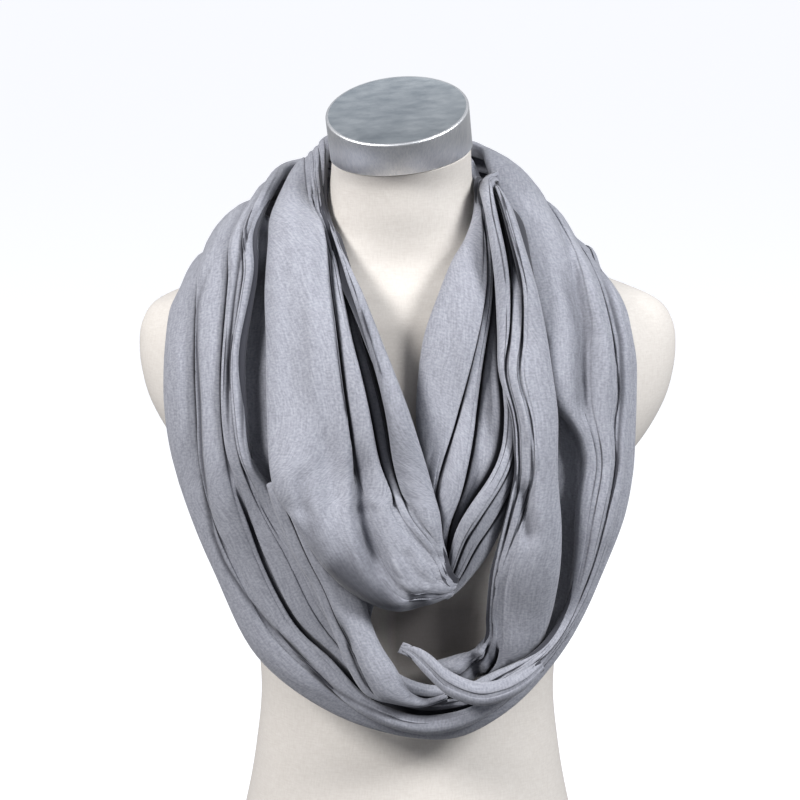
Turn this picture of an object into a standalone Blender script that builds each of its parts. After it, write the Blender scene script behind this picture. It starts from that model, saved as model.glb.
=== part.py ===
"""A nursing scarf, one closed loop of thin cloth wound twice round a limbless dress form with a neck cap.

The front faces -Y and +X is the viewer's right. Sizes are in millimetres until a mesh is made. The front of
the scarf is set out on a drawing plane: u runs right and v up from the drawing's centre, seen from a little
above, and y is the depth behind the middle of the form. What lies behind the neck is set out in x, y and z.
"""

import math

import bmesh
import bpy
import numpy as np
from mathutils import Vector
from mathutils.bvhtree import BVHTree

MM = 0.001
NAME = "nursing_scarf"

# The drawing's view: its tilt above level, the eye's distance, and where its centre lies on the middle plane
VIEW_TILT = math.radians(11)
EYE_DISTANCE = 2000
VIEW_X = -6
VIEW_Z = 437

# How far the form's middle plane, where y is 0 in the tables, lies behind the origin
MIDDLE_Y = 19

# Cloth, and how far the middle of its wall stays off the neck, the shoulders and a layer below it
WALL = 1.6
NECK_CLEAR = 4.0
SHOULDER_CLEAR = 1.7
LAYER_GAP = 2.9
LIP_GAP = 1.6

# The rolled side's section, from its free end round to the cloth's face, as shares of the reach and the
# depth. It shrinks with a stretch narrower than HEM_WIDTH.
HEM_REACH = 13
HEM_DEPTH = 8
HEM_WIDTH = 34
HEM_SECTION = ((1.0, 1.0), (0.35, 1.0), (0.0, 0.62), (0.08, 0.16))

# A knife fold's section: places across for a full lap and for none, and heights as shares of the rise. It is
# full from FULL_RISE up, and its lap is whole from LAP_RISE up.
LAPPED = (3.0, 5.4, -5.4, -3.0)
UNLAPPED = (-2.4, -0.8, 0.8, 2.4)
FOLD_HEIGHTS = (0.0, 0.28, 0.72, 1.0)
FULL_RISE = 5
LAP_RISE = 3

# How far a band between two folds bows out: a share of its width, and the most it does
BOW_SHARE = 0.07
MOST_BOW = 3

# A lift over what lies below: how far out the cloth looks for it, how far round it stays whole, how fast it
# then dies away across the cloth, over how many rows, and how far forward a layer counts
LIFT_REACH = 40.0
LIFT_FLAT = 7.8
LIFT_SLOPE = 0.5
LIFT_ROWS = 4
FRONT_FROM = -25.0
STRAP_FROM = -75.0

# Neck cap
CAP_RADIUS = 55.5
CAP_HEIGHT = 36.5
CAP_CHAMFER = 1.6
CAP_TOP = (-8.3, -34, 671.1)
CAP_NOD = math.radians(23.7)
CAP_FOOT_NOD = math.radians(13.9)
CAP_ROLL = math.radians(5.8)
CAP_GAP = 0.3

# The form's level sections: height, middle x, half width, front and back depth, squareness
FORM_ROWS = (
    (0, 0, 158, -108, 118, 2.2),
    (60, 0, 143, -102, 112, 2.2),
    (110, 0, 131, -95, 98, 2.2),
    (150, 0, 124, -88, 84, 2.2),
    (200, 0, 119, -82, 74, 2.2),
    (250, 0, 123, -88, 76, 2.2),
    (300, 0, 133, -100, 82, 2.2),
    (345, 0, 144, -112, 88, 2.2),
    (380, 0, 158, -117, 92, 2.2),
    (405, 0, 184, -113, 94, 2.2),
    (436, 0, 203, -106, 95, 2.2),
    (462, 0, 211, -99, 94, 2.2),
    (485, 0, 213, -90, 91, 2.2),
    (503, 0, 210, -80, 86, 2.2),
    (518, 0, 199, -70, 80, 2.2),
    (531, 0, 170, -62, 73, 2.2),
    (545, -1, 130, -54, 66, 2.2),
    (558, -2, 98, -49, 59, 2.2),
    (573, -3, 73, -51, 53, 2.1),
    (592, -4, 61, -57, 47, 2.0),
    (613, -5, 56, -65, 40, 2.0),
)
NECK_RADIUS = 54.2
FORM_SIDES = 32

# Each row of a stretch: a side (u, v, y), b side (u, v, y), swell, the folds' places from a to b as shares of
# the width, and the height of each band between two folds. A fold laps the higher band over the lower one.
OUTER_LEFT = (
    (-162, 107, 2, -88, 166, 18, 6, 0.27, 0.78, 0.90, 0, 6, 11, 14),
    (-179, 83, -38, -107, 124, -50, 8, 0.32, 0.73, 0.88, 0, 7, 13, 17),
    (-186, 69, -50, -110, 93, -66, 8, 0.32, 0.70, 0.87, 0, 7, 13, 17),
    (-190, 26, -66, -120, 34, -86, 8, 0.40, 0.765, 0.91, 0, 7, 13, 17),
    (-189, -14, -76, -114, -9, -98, 8, 0.38, 0.69, 0.84, 0, 7, 13, 17),
    (-181, -56, -82, -110, -46, -106, 8, 0.33, 0.68, 0.86, 0, 8, 11, 14),
    (-165, -102, -92, -91, -80, -112, 8, 0.20, 0.51, 0.75, 0, 8, 2, 2),
    (-146, -146, -102, -67, -118, -116, 7, 0.17, 0.42, 0.72, 0, 9, -5, -3),
    (-120, -200, -112, -50, -160, -120, 6, 0.30, 0.50, 0.76, 0, 9, -7, -5),
    (-83, -235, -120, -35, -189, -122, 5, 0.36, 0.61, 0.80, 0, 9, -5, -5),
    (-38, -259, -124, -14, -216, -124, 4, 0.33, 0.58, 0.80, 0, 8, -3, -4),
    (10, -271, -126, 16, -232, -126, 3, 0.29, 0.58, 0.80, 0, 7, -2, -3),
    (48.8, -270, -126, 48.8, -232, -126, 3, 0.37, 0.68, 0.86, 0, 6, 0, -2),
)
OUTER_LEFT_BACK = (
    (-0.9, 112, 492, -0.9, 96, 630, 4, 0.30, 0.62, 0.82, 0, 5, 9, 12),
    (-68, 105, 500, -48, 86, 626, 4, 0.30, 0.64, 0.84, 0, 5, 9, 12),
    (-128, 84, 521, -84, 64, 615, 5, 0.29, 0.70, 0.87, 0, 6, 10, 13),
)
OUTER_RIGHT = (
    (50.9, -270, -126, 50.9, -232, -126, 3, 0.37, 0.68, 0.86, 0, 6, 0, -2),
    (91, -246, -121, 74, -218, -118, 3, 0.30, 0.62, 0.84, 0, 6, 5, 3),
    (124, -209, -115, 114, -197, -111, 3, 0.33, 0.60, 0.80, 0, 6, 8, 8),
    (146, -174, -107, 132, -166, -105, 4, 0.30, 0.56, 0.78, 0, 7, 8, 8),
    (165, -133, -99, 137, -124, -104, 6, 0.29, 0.55, 0.78, 0, 7, 8, 8),
    (180, -95, -92, 138, -82, -106, 7, 0.33, 0.55, 0.78, 0, 7, 8, 8),
    (187, -60, -84, 142, -50, -100, 8, 0.33, 0.54, 0.78, 0, 7, 8, 8),
    (189, -32, -80, 136, -26, -98, 8, 0.26, 0.50, 0.76, 0, 7, 8, 8),
    (190, 0, -74, 125, 0, -94, 8, 0.20, 0.36, 0.72, 0, 7, 8, 7),
    (190, 30, -68, 119, 30, -88, 8, 0.19, 0.35, 0.66, 0, 7, 8, 7),
    (186, 52, -60, 115, 54, -82, 8, 0.155, 0.36, 0.60, 0, 6, 8, 7),
    (181, 74, -50, 107, 75, -74, 8, 0.145, 0.36, 0.56, 0, 6, 8, 7),
    (169, 95, -34, 99, 99, -62, 8, 0.12, 0.30, 0.50, 0, 5, 8, 7),
    (163, 105, -18, 85, 150, -30, 8, 0.12, 0.28, 0.48, 0, 4, 7, 7),
    (158, 116, 4, 71, 209, 36, 8, 0.14, 0.32, 0.55, 0, 4, 7, 7),
)
OUTER_RIGHT_BACK = (
    (126, 84, 528, 76, 68, 636, 5, 0.20, 0.46, 0.68, 0, 5, 8, 10),
    (68, 105, 502, 44, 88, 633, 4, 0.27, 0.56, 0.78, 0, 5, 9, 12),
    (0.9, 112, 492, 0.9, 96, 630, 4, 0.30, 0.62, 0.82, 0, 5, 9, 12),
)
STRAP = (
    (94, -232, -102.7, 34, -230, -101.7, 3, 0.58, 0.80, 0, -4, 0),
    (109, -204, -108, 54, -206, -108, 3, 0.60, 0.84, 0, -6, 1),
    (122, -172, -121, 71, -178, -120, 4, 0.60, 0.86, 0, -1, 0),
    (128, -137, -131, 74, -137, -130, 5, 0.56, 0.82, 0, 0, 0),
    (129, -101, -130, 82, -102, -128, 5, 0.52, 0.82, 0, -4, 0),
    (126, -63, -126, 91, -62, -124, 5, 0.48, 0.80, 0, -6, -4),
    (126, -37, -124, 91, -38, -122, 5, 0.55, 0.82, 0, -6, -5),
    (126, -10, -121, 89, -13, -119, 5, 0.60, 0.84, 0, -6, -5),
    (122, 22, -115, 79, 21, -114, 5, 0.62, 0.84, 0, -5, -5),
    (117, 54, -107, 78, 51, -106, 5, 0.50, 0.80, 0, -2, -2),
    (109, 90, -98, 76, 88, -94, 5, 0.40, 0.75, 0, 2, 2),
    (100, 120, -84, 74, 115, -80, 5, 0.36, 0.74, 0, 4, 3),
    (91, 149, -64, 70, 142, -60, 5, 0.36, 0.74, 0, 4, 3),
    (84, 164, -46, 66, 168, -42, 4, 0.40, 0.74, 0, 3, 3),
    (79, 166, -18, 67, 177, -14, 3, 0.45, 0.76, 0, 1, 1),
)
STRAP_BACK = (
    (74, 10, 600, 69, 9, 619, 0, 0.45, 0.76, 0, 1, 1),
    (76, 26, 600, 71, 24, 619, 0, 0.45, 0.76, 0, 1, 1),
)
INNER_BAND = (
    (-104, -70, -107, -72, -62, -109, 2, 0.30, 0, 5),
    (-97, -94, -118, -56, -84, -120, 3, 0.30, 0, 5),
    (-82, -128, -124, -40, -116, -126, 3, 0.28, 0, 5),
    (-70, -148, -128, -30, -150, -130, 3, 0.27, 0, 5),
    (-58, -176, -132, -24, -174, -134, 4, 0.30, 0, 6),
    (-50, -196, -136, -16, -194, -138, 4, 0.37, 0, 6),
    (-40, -219, -138, -3, -214, -140, 4, 0.33, 0, 6),
    (-27, -237, -139, 4, -228, -140, 3, 0.30, 0, 5),
    (-6, -243, -138, 10, -235, -139, 2, 0.30, 0, 3),
    (18, -246, -134, 21, -239, -134, 1, 0.35, 0, 2),
    (38, -240, -129, 37, -235, -129, 1, 0.40, 0, 1),
)
LOWER_LIP = (
    (-13, -160, -126, -5, -157, -126, 1, 0.5, 0, 1),
    (-8, -186, -128, 0, -184, -128, 1, 0.5, 0, 1),
    (2, -205, -134, 8, -198, -134, 1, 0.5, 0, 1),
    (22, -222, -142, 25, -208, -142, 2, 0.5, 0, 2),
    (42, -236, -147, 41, -221, -146, 3, 0.5, 0, 2),
    (64, -242, -148, 62, -227, -147, 3, 0.5, 0, 2),
    (87, -238, -146, 82, -224, -146, 3, 0.5, 0, 2),
    (112, -224, -136, 102, -213, -137, 2, 0.5, 0, 2),
    (127, -202, -122, 117, -198, -124, 1, 0.5, 0, 1),
    (139, -180, -106, 132, -177, -108, 1, 0.5, 0, 1),
)
INNER_LEFT = (
    (-85, 181, 14, -59, 200, 12, 4, 0.55, 0.72, 0.86, 0, 2, 1, 1),
    (-102, 150, -26, -59, 152, -28, 5, 0.80, 0.88, 0.95, 0, -4, -3, -5),
    (-105, 126, -52, -50, 124, -50, 6, 0.78, 0.88, 0.95, 0, -6, -7, -6),
    (-108, 88, -76, -34, 90, -70, 7, 0.70, 0.81, 0.90, 0, -6, -12, -6),
    (-107, 48, -96, -18, 48, -92, 7, 0.62, 0.74, 0.87, 0, -6, -15, -6),
    (-107, 12, -112, -3, 12, -108, 7, 0.575, 0.73, 0.85, 0, -5, -15, -5),
    (-106, -20, -124, 10, -20, -120, 7, 0.55, 0.71, 0.82, 0, -4, -14, -4),
    (-104, -52, -132, 20, -50, -128, 7, 0.535, 0.70, 0.79, 0, -2, -9, -2),
    (-100, -74, -139, 27, -74, -137, 7, 0.52, 0.72, 0.80, 0, -1, -4, 0),
    (-86, -95, -144, 32, -92, -141, 7, 0.50, 0.72, 0.82, 0, -1, -2, 0),
    (-69, -122, -147, 34, -112, -143, 7, 0.46, 0.70, 0.84, 0, -3, 0, 0),
    (-46, -149, -148, 37, -124, -144, 6, 0.44, 0.68, 0.84, 0, -4, 0, 0),
    (-11, -168, -148, 39, -134, -144, 5, 0.44, 0.68, 0.84, 0, -2, 0, 0),
    (16, -166, -146, 42, -142, -143, 3, 0.44, 0.68, 0.84, 0, 0, 0, 0),
    (42, -157, -142, 46, -146, -140, 1, 0.44, 0.68, 0.84, 0, 0, 0, 0),
)
INNER_LEFT_BACK = (
    (-2.3, 84, 574, -2.3, 62, 648, 2, 0.40, 0.60, 0.80, 0, 2, 4, 5),
    (-46, 74, 580, -38, 54, 648, 2, 0.40, 0.60, 0.80, 0, 2, 4, 5),
    (-82, 42, 596, -64, 30, 646, 3, 0.45, 0.65, 0.82, 0, 2, 3, 3),
)
INNER_RIGHT = (
    (38, -160, -124, 12, -138, -120, 2, 0.16, 0.30, 0.46, 0.62, 0.80, 0, 2, 3, 0, 2, 2),
    (50, -149, -126, 28, -118, -118, 3, 0.16, 0.30, 0.46, 0.62, 0.82, 0, 3, 5, -2, 2, 2),
    (69, -126, -126, 22, -80, -116, 4, 0.19, 0.32, 0.47, 0.60, 0.84, 0, 4, 6, -5, 2, 3),
    (82, -102, -123, 16, -44, -113, 5, 0.12, 0.24, 0.36, 0.50, 0.75, 0, 4, 7, -6, 2, 4),
    (104, -64, -120, 13, -16, -112, 6, 0.12, 0.20, 0.29, 0.53, 0.71, 0, 3, 6, -8, 1, 4),
    (112, -24, -110, 14, 12, -106, 6, 0.12, 0.20, 0.29, 0.53, 0.66, 0, 2, 3, -8, 0, 4),
    (108, 18, -101, 19, 50, -97, 6, 0.12, 0.21, 0.31, 0.48, 0.57, 0, 0, 0, -6, 0, 4),
    (102, 56, -90, 30, 82, -85, 6, 0.12, 0.21, 0.31, 0.43, 0.52, 0, 0, 0, -5, 0, 4),
    (94, 88, -78, 41, 110, -74, 5, 0.12, 0.21, 0.31, 0.40, 0.49, 0, 0, 0, -3, 0, 3),
    (86, 118, -62, 52, 129, -62, 4, 0.12, 0.22, 0.32, 0.42, 0.54, 0, 0, 0, -2, 0, 2),
    (76, 146, -40, 59, 150, -42, 3, 0.14, 0.26, 0.38, 0.50, 0.64, 0, 0, 0, 0, 0, 0),
    (64, 168, -10, 59, 174, -12, 1, 0.16, 0.30, 0.44, 0.58, 0.72, 0, 0, 0, 0, 0, 0),
)
INNER_RIGHT_BACK = (
    (61, 30, 588, 55, 26, 612, 1, 0.30, 0.42, 0.54, 0.68, 0.80, 0, 1, 2, 2, 2, 2),
    (44, 72, 576, 38, 54, 634, 2, 0.40, 0.52, 0.66, 0.76, 0.86, 0, 2, 3, 4, 5, 5),
    (0.9, 84, 574, 0.9, 62, 648, 2, 0.40, 0.52, 0.66, 0.76, 0.86, 0, 2, 3, 4, 5, 5),
)


def place(u, v, y):
    """The point at depth y that the drawing shows at (u, v)."""
    ahead = np.array((0.0, math.cos(VIEW_TILT), -math.sin(VIEW_TILT)))
    up = np.array((0.0, math.sin(VIEW_TILT), math.cos(VIEW_TILT)))
    eye = np.array((VIEW_X, 0.0, VIEW_Z)) - EYE_DISTANCE * ahead
    sight = ahead + (u * np.array((1.0, 0.0, 0.0)) + v * up) / EYE_DISTANCE
    return eye + sight * (y - eye[1]) / sight[1]


def through(rows, count):
    """Count rows along a smooth curve through the given ones."""
    rows = np.array(rows, float)
    last = len(rows) - 1
    smooth = []
    for along in np.linspace(0, last, count):
        k = min(int(along), last - 1)
        t = along - k
        p0, p1, p2, p3 = (rows[min(max(k + step, 0), last)] for step in (-1, 0, 1, 2))
        bend = 2 * p0 - 5 * p1 + 4 * p2 - p3
        twist = 3 * (p1 - p2) + p3 - p0
        smooth.append(p1 + ((p2 - p0) * t + bend * t**2 + twist * t**3) / 2)
    return np.array(smooth)


def unit(vectors):
    return vectors / np.linalg.norm(vectors, axis=-1, keepdims=True)


def fold_points(at, low, high):
    """A knife fold's four points, as (across, height): the higher band laps over the lower one."""
    rise = high - low
    full = min(abs(rise) / FULL_RISE, 1)
    lap = math.copysign(min(abs(rise) / LAP_RISE, 1), rise)
    across = at + full * lap * np.array(LAPPED) + (1 - full) * np.array(UNLAPPED)
    return list(zip(across, low + rise * np.array(FOLD_HEIGHTS)))


def section(width, swell, folds, levels, shares):
    """The cloth's section from a to b as (across, height) points, with both sides rolled under."""
    reach, depth = np.array((HEM_REACH, HEM_DEPTH)) * min(1, width / HEM_WIDTH)
    points = [(reach * over, levels[0] - depth * down) for over, down in HEM_SECTION]
    marks = [0.0, *(share * width for share in folds), width]
    for band, level in enumerate(levels):
        start, end = marks[band], marks[band + 1]
        bow = min(BOW_SHARE * (end - start), MOST_BOW)
        for share in shares:
            points.append((start + share * (end - start), level + bow))
        if band < len(folds):
            points.extend(fold_points(end, level, levels[band + 1]))
    points.extend((width - reach * over, levels[-1] - depth * down) for over, down in HEM_SECTION[::-1])
    across, height = np.array(points).T
    share = np.clip(across / width, 0, 1)
    return across, height + swell * 4 * share * (1 - share)


def sheet_grid(rows, fold_count, count, shares):
    """The cloth's points row by row, how far across each lies, and the outward direction at each row."""
    smooth = through(rows, count)
    a, b = smooth[:, 0:3], smooth[:, 3:6]
    middle = (a + b) / 2
    along = unit(np.gradient(middle, axis=0))
    across = b - a
    width = np.linalg.norm(across, axis=1)
    outward = unit(np.cross(along, unit(across)))
    grid = []
    places = []
    for k in range(count):
        folds = smooth[k, 7 : 7 + fold_count]
        levels = smooth[k, 7 + fold_count :]
        s, h = section(width[k], smooth[k, 6], folds, levels, shares)
        grid.append(a[k] + np.outer(s / width[k], across[k]) + np.outer(h, outward[k]))
        places.append(s)
    return np.array(grid), np.array(places), outward


def rest_on(grid, places, outward, below, clear, from_y):
    """Lifts the cloth clear of what lies below it, where a row's middle is in front of from_y."""
    lift = np.zeros(places.shape)
    for k, row in enumerate(grid):
        if row[:, 1].mean() > from_y:
            continue
        direction = Vector(outward[k])
        for j, point in enumerate(row):
            start = Vector(point) + LIFT_REACH * direction
            hit, _, _, distance = below.ray_cast(start, -direction, LIFT_REACH + clear)
            if hit is not None:
                lift[k, j] = LIFT_REACH + clear - distance
    eased = lift.copy()
    for k in range(len(grid)):
        for other in range(max(k - LIFT_ROWS + 1, 0), min(k + LIFT_ROWS, len(grid))):
            apart = np.abs(places[k][:, None] - places[other][None, :])
            needed = lift[other][None, :] - LIFT_SLOPE * np.maximum(apart - LIFT_FLAT, 0)
            needed *= 1 - abs(k - other) / LIFT_ROWS
            eased[k] = np.maximum(eased[k], needed.max(axis=1))
    return grid + eased[..., None] * outward[:, None, :]


def grid_faces(rows, columns):
    """The four corners of each face of a grid of points."""
    corner = np.arange(rows * columns).reshape(rows, columns)
    quads = np.stack((corner[:-1, :-1], corner[1:, :-1], corner[1:, 1:], corner[:-1, 1:]), axis=-1)
    return quads.reshape(-1, 4).tolist()


def new_material(name, colour, roughness, metallic=0.0):
    material = bpy.data.materials.new(name)
    material.use_nodes = True
    shader = material.node_tree.nodes["Principled BSDF"]
    shader.inputs["Base Color"].default_value = (*colour, 1.0)
    shader.inputs["Roughness"].default_value = roughness
    shader.inputs["Metallic"].default_value = metallic
    return material


def new_object(name, points, faces, material, home):
    mesh = bpy.data.meshes.new(name)
    mesh.from_pydata(((np.asarray(points) + (0, MIDDLE_Y, 0)) * MM).tolist(), [], faces)
    mesh.materials.append(material)
    mesh.shade_smooth()
    piece = bpy.data.objects.new(name, mesh)
    home.objects.link(piece)
    return piece


def turned():
    """The cosine and sine at each side of the form."""
    turn = np.linspace(0, 2 * math.pi, FORM_SIDES, endpoint=False)
    return np.cos(turn), np.sin(turn)


def squared(value, square):
    return np.sign(value) * np.abs(value) ** (2 / square)


def form_ring(row):
    """One level section of the torso, as points round it."""
    z, x, half_width, front, back, square = row
    cos, sin = turned()
    depth = np.where(sin < 0, -front, back)
    level = np.full(FORM_SIDES, z)
    return np.stack((x + half_width * squared(cos, square), depth * squared(sin, square), level), axis=1)


def cap_axis(nod):
    """Straight up from a face of the neck cap that nods forward by this angle."""
    upright = math.cos(nod)
    return np.array((-upright * math.sin(CAP_ROLL), -math.sin(nod), upright * math.cos(CAP_ROLL)))


def cap_ring(radius, below_top, nod):
    """A ring round the neck cap's axis, nodding forward by its own angle and rolled as the cap is."""
    cos, sin = turned()
    side = np.array((math.cos(CAP_ROLL), 0, math.sin(CAP_ROLL)))
    back = np.cross(cap_axis(nod), side)
    centre = np.array(CAP_TOP) - below_top * cap_axis(CAP_NOD)
    return centre + radius * (np.outer(cos, side) + np.outer(sin, back))


def loft_object(name, rings, material, home):
    """A closed body through rings, with flat ends."""
    count = len(rings)
    points = np.concatenate(rings)
    corner = np.arange(count * FORM_SIDES).reshape(count, FORM_SIDES)
    after = np.roll(corner, -1, axis=1)
    faces = np.stack((corner[:-1], after[:-1], after[1:], corner[1:]), axis=-1).reshape(-1, 4).tolist()
    faces.append(corner[0][::-1].tolist())
    faces.append(corner[-1].tolist())
    return new_object(name, points, faces, material, home)


def tree_of(*pieces):
    """One search tree over the faces of the given pieces, in millimetres."""
    points = []
    faces = []
    graph = bpy.context.evaluated_depsgraph_get()
    for piece in pieces:
        shape = bmesh.new()
        shape.from_object(piece, graph)
        first = len(points)
        points.extend(vertex.co / MM - Vector((0, MIDDLE_Y, 0)) for vertex in shape.verts)
        faces.extend([first + vertex.index for vertex in face.verts] for face in shape.faces)
        shape.free()
    return BVHTree.FromPolygons(points, faces)


def drawn(rows):
    """Rows of the front drawing, with both sides placed in x, y and z."""
    return tuple((*place(*row[0:3]), *place(*row[3:6]), *row[6:]) for row in rows)


def make_stretch(name, rows, fold_count, stations, shares, below, material, home):
    """A stretch of the scarf as a wall of cloth, lifted clear of each (tree, clear, from_y) below it."""
    grid, places, outward = sheet_grid(rows, fold_count, stations, shares)
    for tree, clear, from_y in below:
        grid = rest_on(grid, places, outward, tree, clear, from_y)
    count, columns = grid.shape[:2]
    piece = new_object(name, grid.reshape(-1, 3), grid_faces(count, columns), material, home)
    wall = piece.modifiers.new("wall", "SOLIDIFY")
    wall.thickness = WALL * MM
    wall.offset = 0
    wall.use_even_offset = False
    bpy.context.view_layer.update()
    return piece


def main():
    for old in list(bpy.data.objects):
        bpy.data.objects.remove(old)
    home = bpy.data.collections.new(NAME)
    bpy.context.scene.collection.children.link(home)
    cloth = new_material("grey_cloth", (0.40, 0.41, 0.46), 0.85)
    linen = new_material("form_linen", (0.80, 0.76, 0.71), 0.8)
    metal = new_material("brushed_cap", (0.45, 0.48, 0.50), 0.35, 1.0)

    rings = [form_ring(row) for row in FORM_ROWS]
    rings.append(cap_ring(NECK_RADIUS, CAP_HEIGHT + CAP_GAP, CAP_FOOT_NOD))
    form = loft_object("dress_form", rings, linen, home)
    cap_rings = [
        cap_ring(CAP_RADIUS, CAP_HEIGHT, CAP_FOOT_NOD),
        cap_ring(CAP_RADIUS, CAP_CHAMFER, CAP_NOD),
        cap_ring(CAP_RADIUS - CAP_CHAMFER, 0, CAP_NOD),
    ]
    cap = loft_object("neck_cap", cap_rings, metal, home)
    bpy.context.view_layer.update()
    on_form = tree_of(form, cap)

    def stretch(name, rows, fold_count, stations, shares, clear, layers=(), gap=LAYER_GAP, from_y=FRONT_FROM):
        below = [(on_form, clear, math.inf)]
        below.extend((tree_of(layer), gap, from_y) for layer in layers)
        return make_stretch(name, rows, fold_count, stations, shares, below, cloth, home)

    one = (0.5,)
    two = (0.3, 0.7)
    rows = drawn(INNER_RIGHT) + INNER_RIGHT_BACK
    inner_right = stretch("inner_turn_right", rows, 5, 17, one, NECK_CLEAR)
    rows = OUTER_LEFT_BACK + drawn(OUTER_LEFT)
    outer_left = stretch("outer_turn_left", rows, 3, 24, two, SHOULDER_CLEAR)
    rows = drawn(OUTER_RIGHT) + OUTER_RIGHT_BACK
    outer_right = stretch("outer_turn_right", rows, 3, 24, two, SHOULDER_CLEAR)
    band = stretch("inner_band", drawn(INNER_BAND), 1, 13, two, NECK_CLEAR, [outer_left])
    rows = drawn(STRAP) + STRAP_BACK
    strap = stretch("strap", rows, 2, 19, one, NECK_CLEAR, [inner_right], from_y=STRAP_FROM)
    rows = INNER_LEFT_BACK + drawn(INNER_LEFT)
    stretch("inner_turn_left", rows, 3, 24, two, NECK_CLEAR, [inner_right, outer_left, band])
    layers = [outer_left, outer_right, band, strap]
    stretch("lower_lip", drawn(LOWER_LIP), 1, 13, one, NECK_CLEAR, layers, gap=LIP_GAP)


main()
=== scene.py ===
"""A grey nursing scarf, wound twice round a limbless linen dress form with a brushed metal neck cap.

The cloth's stretches follow the same rows as the solids that they stand for, with finer folds, listed
creases and gaps and a thin wall, and stitches follow the seam behind the neck. Sizes are in millimetres
until a mesh is made. The front is set out on a drawing plane: u runs right and v up from the picture's
centre, and y is the depth behind the middle of the form.
"""

import math

import bmesh
import bpy
import numpy as np
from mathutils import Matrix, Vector, noise
from mathutils.bvhtree import BVHTree


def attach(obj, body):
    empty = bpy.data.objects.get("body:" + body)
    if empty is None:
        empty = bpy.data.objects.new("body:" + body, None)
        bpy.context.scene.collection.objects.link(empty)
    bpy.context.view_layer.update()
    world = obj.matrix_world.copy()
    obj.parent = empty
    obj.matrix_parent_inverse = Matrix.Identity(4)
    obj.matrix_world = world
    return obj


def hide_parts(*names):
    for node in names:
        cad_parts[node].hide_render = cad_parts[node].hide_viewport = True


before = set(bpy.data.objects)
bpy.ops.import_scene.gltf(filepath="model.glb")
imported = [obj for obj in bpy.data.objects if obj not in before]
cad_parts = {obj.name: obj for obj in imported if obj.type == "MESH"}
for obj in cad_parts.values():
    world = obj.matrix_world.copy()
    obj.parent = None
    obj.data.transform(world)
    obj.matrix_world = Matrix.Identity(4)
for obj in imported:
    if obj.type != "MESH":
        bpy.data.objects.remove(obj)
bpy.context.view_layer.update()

MM = 0.001

# The picture's view: its tilt above level, the eye's distance, where its centre lies, one dot's size there,
# and how many dots wide it is
VIEW_TILT = math.radians(11)
EYE_DISTANCE = 2000
VIEW_X = -6
VIEW_Z = 437
MIDDLE_Y = 19
DOT = 0.8
PICTURE_DOTS = 800
SENSOR_WIDTH = 36

# How much deeper the ridges and the troughs are than the solids' ones
RIDGE_SCALE = 1.25
TROUGH_SCALE = 1.7

# Cloth, and how far the middle of its wall stays off the neck, the shoulders and a layer below it
WALL = 0.9
NECK_CLEAR = 3.4
SHOULDER_CLEAR = 1.4
LAYER_GAP = 2.3
LIP_GAP = 1.3
LIP_EXTRA = 2

# The rolled side's section, from its free end round to the cloth's face, as shares of the reach and the
# depth. It shrinks with a stretch narrower than HEM_WIDTH.
HEM_REACH = 13
HEM_DEPTH = 8
HEM_WIDTH = 34
HEM_SECTION = (
    (1.0, 1.0),
    (0.8, 1.04),
    (0.55, 1.04),
    (0.3, 1.0),
    (0.08, 0.84),
    (0.0, 0.58),
    (0.02, 0.32),
    (0.1, 0.1),
)

# The section of a side that laps under what lies beyond it, as shares of the flap's reach and drop. The side
# is such a flap in front of FLAP_FROM and above FLAP_LOW, and a roll elsewhere, with an ease between the two.
FLAP_SECTION = (
    (-1.0, 1.2),
    (-0.65, 1.15),
    (-0.3, 1.08),
    (0.0, 1.0),
    (0.14, 0.75),
    (0.1, 0.5),
    (0.0, 0.25),
    (0.02, 0.08),
)
FLAP_FROM = -20
FLAP_EASE = 30
FLAP_LOW = 232
FLAP_LOW_EASE = 40
RIGHT_FLAP = (34, 20)

# A knife fold's section from the lower band to the upper one: places across for a full lap and for none, and
# heights as shares of the rise. It is full from FULL_RISE up, and its lap is whole from LAP_RISE up.
LAPPED = (-4.2, -0.5, 5.5, 8.5, 3.5, -0.4, -0.9, 3.0)
UNLAPPED = (-5.0, -3.5, -2.1, -0.7, 0.7, 2.1, 3.5, 5.0)
FOLD_HEIGHTS = (0.0, -0.58, -0.8, -0.25, 0.4, 0.66, 0.96, 1.05)
FULL_RISE = 4
LAP_RISE = 3

# Where a band between two folds is set out, as shares of its width, and how far it bows out
BAND_SHARES = (0.14, 0.32, 0.5, 0.68, 0.86)
BOW_SHARE = 0.10
MOST_BOW = 5

# A lift over what lies below: how far out the cloth looks for it, how far round it stays whole, how fast it
# then dies away across the cloth, over how many rows, how far forward a layer counts, and how much the lift
# over a layer, over what the panel crosses and over what the lip lies on turns toward the eye
LIFT_REACH = 40.0
LIFT_FLAT = 7.8
LIFT_SLOPE = 0.5
LIFT_ROWS = 15
FRONT_FROM = -25.0
STRAP_FROM = -75.0
LAYER_PULL = 1.5
PANEL_PULL = 5.0
LIP_PULL = 8.0

# Soft waves of hanging cloth: height, then length across and along the cloth
WAVES = ((1.3, 26, 95), (0.5, 10, 55), (0.22, 7, 16))
WAVE_SEEDS = (0, 5, 9)

# Seam stitches: how far in from the joined ends and out from the cloth, how many points in from the cloth's
# sides they start and how many they step over, and the thread's measures
SEAM_IN = 4.0
SEAM_OUT = 0.75
SEAM_FROM = 30
SEAM_STEP = 3
STITCH_SPACING = 3.2
STITCH_LENGTH = 2.1
STITCH_RADIUS = 0.28
STITCH_SIDES = 8

# A gap drawn between bands: how deep it is cut and how dark its painted shade is. It is cut and shaded only
# where the cloth faces forward, which is where its normal's y is below FACES_FORWARD.
GROOVE_DEPTH = 2.6
GROOVE_PAINTED_SHADE = 0.8
FACES_FORWARD = 0.2
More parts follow.
